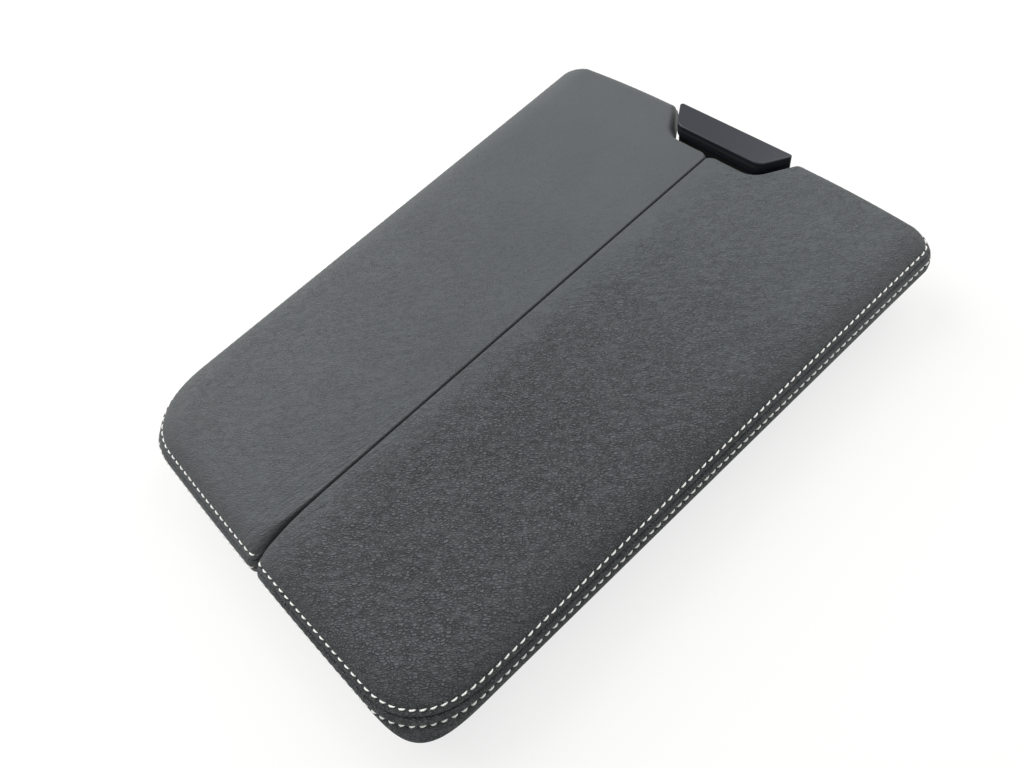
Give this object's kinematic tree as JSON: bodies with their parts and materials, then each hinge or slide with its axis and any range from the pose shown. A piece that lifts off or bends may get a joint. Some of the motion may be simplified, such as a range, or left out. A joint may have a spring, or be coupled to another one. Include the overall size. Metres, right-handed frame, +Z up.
{
  "type": "split console armrest lid",
  "caption": "Padded leather armrest split lengthwise into lids that swing outwards on a base frame, released by a button set into the front end.",
  "frame": {"origin": "middle of the overall box, on the plane of the frame's underside", "axes": "+X across the armrest to the right lid, +Y along it to the button end, +Z up"},
  "size_m": [0.258, 0.3589, 0.0495],
  "materials": {
    "leather": "dark grey grained leather with pale stitching",
    "foam": "moulded cushion foam",
    "frame_plastic": "black moulded plastic, fine grain",
    "liner_plastic": "dark grey moulded plastic",
    "button_finish": "satin dark grey paint",
    "nylon": "natural nylon",
    "zinc_steel": "zinc-plated steel",
    "spring_steel": "bare spring steel",
    "bumper_rubber": "black rubber"
  },
  "bodies": {
    "base": {"base_frame": "frame_plastic", "latch_cover": "frame_plastic", "latch_cover_screws": "zinc_steel", "deck_bumpers": "bumper_rubber", "right_hinge_pins": "zinc_steel", "left_hinge_pins": "zinc_steel", "right_lid_spring": "spring_steel", "left_lid_spring": "spring_steel", "right_damper_body": "frame_plastic", "left_damper_body": "frame_plastic", "latch_pin": "zinc_steel", "latch_spring": "spring_steel", "button_pin": "zinc_steel"},
    "latch": {"latch_rocker": "nylon"},
    "button": {"button_body": "frame_plastic", "button_plate": "button_finish"},
    "right_lid": {"right_cover": "leather", "right_foam": "foam", "right_carrier": "frame_plastic", "right_liner": "liner_plastic", "right_liner_screws": "zinc_steel", "right_rear_arm": "zinc_steel", "right_front_arm": "zinc_steel", "right_arm_screws": "zinc_steel", "right_hinge_bushes": "nylon", "right_damper_rotor": "nylon", "right_striker": "spring_steel"},
    "left_lid": {"left_cover": "leather", "left_foam": "foam", "left_carrier": "frame_plastic", "left_liner": "liner_plastic", "left_liner_screws": "zinc_steel", "left_rear_arm": "zinc_steel", "left_front_arm": "zinc_steel", "left_arm_screws": "zinc_steel", "left_hinge_bushes": "nylon", "left_damper_rotor": "nylon", "left_striker": "spring_steel"}
  },
  "joints": [
    {"name": "right_lid_hinge", "type": "hinge", "parent": "base", "child": "right_lid", "pos_m": [0.106, 0, 0.027], "axis": [0, 1, 0], "range_deg": [0, 75]},
    {"name": "left_lid_hinge", "type": "hinge", "parent": "base", "child": "left_lid", "pos_m": [-0.106, 0, 0.027], "axis": [0, -1, 0], "range_deg": [0, 75]},
    {"name": "button_press", "type": "hinge", "parent": "base", "child": "button", "pos_m": [0, 0.1655, 0.038], "axis": [1, 0, 0], "range_deg": [0, 10], "stiffness_Nm_per_rad": 0.3, "springref_deg": -5.73},
    {"name": "latch_turn", "type": "hinge", "parent": "base", "child": "latch", "pos_m": [0, 0.1495, 0.009], "axis": [-1, 0, 0], "range_deg": [0, 12], "deforming": ["latch_spring"]}
  ],
  "couplings": [
    {"joint": "latch_turn", "follows": "button_press", "ratio": 1.1}
  ]
}
